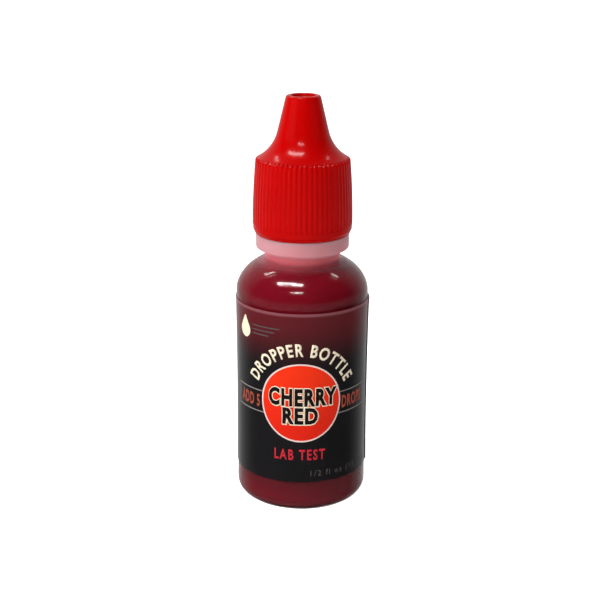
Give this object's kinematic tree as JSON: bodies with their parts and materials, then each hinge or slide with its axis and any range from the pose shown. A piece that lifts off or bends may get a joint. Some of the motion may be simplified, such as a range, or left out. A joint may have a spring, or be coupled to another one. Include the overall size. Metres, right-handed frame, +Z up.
{
  "type": "dropper bottle",
  "caption": "Small round squeeze bottle with a pressed-in dropper tip, a ribbed screw cap with a tapered spire, a wrap-around label and dark red test liquid.",
  "frame": {"origin": "centre of the foot ring, on the surface the bottle stands on", "axes": "+Z up along the bottle's axis, -Y out of the middle of the label's front, +X at the label's lapped end"},
  "size_m": [0.0254, 0.0252, 0.0779],
  "materials": {
    "natural_ldpe": "satin",
    "red_liquid": "gloss",
    "black_label": "satin",
    "tip_ldpe": "satin",
    "red_cap": "gloss"
  },
  "bodies": {
    "bottle": {"bottle": "natural_ldpe", "liquid": "red_liquid", "label": "black_label"},
    "tip": {"dropper_tip": "tip_ldpe"},
    "cap": {"cap": "red_cap"}
  },
  "joints": [
    {"name": "cap_turn", "type": "hinge", "parent": "bottle", "child": "tip", "pos_m": [0, 0, 0.0636], "axis": [0, 0, 1], "range_deg": [0, 4140]},
    {"name": "cap_lift", "type": "slide", "parent": "tip", "child": "cap", "axis": [0, 0, 1], "range_m": [0, 0.0244]}
  ],
  "couplings": [
    {"joint": "cap_lift", "follows": "cap_turn", "m_per_rad": 0.00033688}
  ]
}
